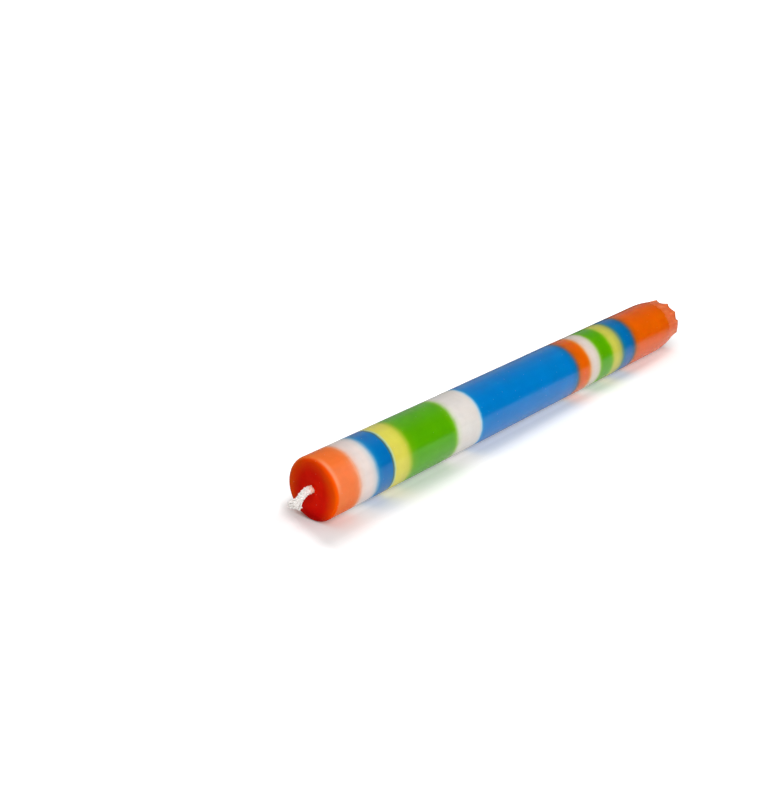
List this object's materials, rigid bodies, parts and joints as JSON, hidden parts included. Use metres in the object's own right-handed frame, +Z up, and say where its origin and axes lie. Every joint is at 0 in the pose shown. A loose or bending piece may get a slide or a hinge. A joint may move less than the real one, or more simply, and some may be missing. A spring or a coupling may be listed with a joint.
{
  "type": "taper candle",
  "caption": "Slim straight candle of coloured wax layers on one braided cotton wick, with a rounded lit end and a tapered, fluted base end.",
  "frame": {"origin": "on the ground, below the middle of the candle's whole length, wick stub included", "axes": "+X along the candle towards the fluted base end, +Z up from the surface that it lies on, +Y across"},
  "size_m": [0.24, 0.022, 0.022],
  "materials": {
    "wax_orange": "satin wax",
    "wax_white": "satin wax",
    "wax_blue": "satin wax",
    "wax_yellow": "satin wax",
    "wax_green": "satin wax",
    "wick_cotton": "braided cotton"
  },
  "bodies": {
    "root": {"layer_01_orange_tip": "wax_orange", "layer_02_white": "wax_white", "layer_03_blue": "wax_blue", "layer_04_yellow": "wax_yellow", "layer_05_green_wide": "wax_green", "layer_06_white": "wax_white", "layer_07_blue_long": "wax_blue", "layer_08_orange": "wax_orange", "layer_09_white": "wax_white", "layer_10_green": "wax_green", "layer_11_yellow": "wax_yellow", "layer_12_blue": "wax_blue", "layer_13_orange_base": "wax_orange", "wick": "wick_cotton"}
  },
  "joints": []
}
